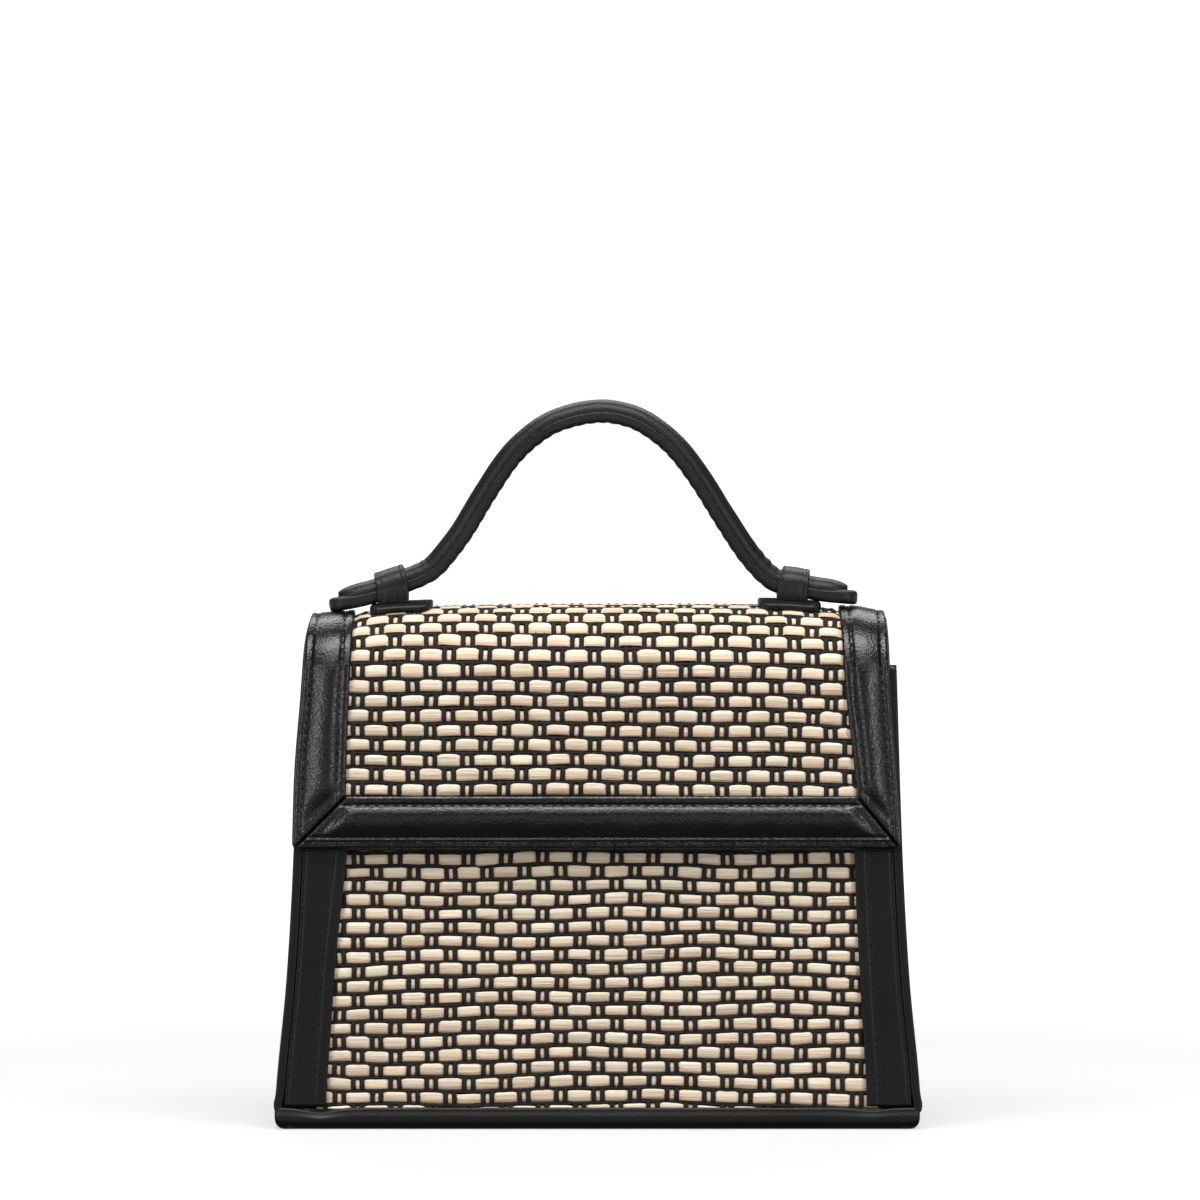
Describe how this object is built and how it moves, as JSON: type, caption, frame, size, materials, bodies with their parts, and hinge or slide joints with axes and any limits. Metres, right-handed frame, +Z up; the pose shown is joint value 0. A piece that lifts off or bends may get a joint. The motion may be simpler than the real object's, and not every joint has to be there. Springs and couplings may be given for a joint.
{
  "type": "crossbody bag",
  "caption": "Small structured flap bag of woven raffia with black leather trims and an arched top handle held in leather loops.",
  "frame": {"origin": "middle of the base, on the surface that the bag stands on", "axes": "+Z up, -Y is the front with the flap's lower edge, +X is to the right seen from the front"},
  "size_m": [0.2218, 0.09, 0.2503],
  "materials": {
    "black_leather": "smooth black leather, semi-matte, with a fine grain",
    "woven_raffia": "natural raffia strips woven over paired black cords, matt",
    "lining_leather": "thin plain black leather, matt",
    "snap_metal": "plain steel, hidden under the flap"
  },
  "bodies": {
    "root": {"base_panel": "black_leather", "front_panel": "woven_raffia", "back_panel": "woven_raffia", "front_trim_left": "black_leather", "front_trim_right": "black_leather", "back_trim_left": "black_leather", "back_trim_right": "black_leather", "gusset_left": "black_leather", "gusset_right": "black_leather", "flap_panel": "woven_raffia", "flap_lining": "lining_leather", "flap_trim_left": "black_leather", "flap_trim_right": "black_leather", "flap_trim_bottom": "black_leather", "handle_strap": "black_leather", "handle_roll": "black_leather", "handle_loop_left": "black_leather", "handle_loop_right": "black_leather", "loop_tab_left": "black_leather", "loop_tab_right": "black_leather", "magnetic_snap": "snap_metal"}
  },
  "joints": []
}
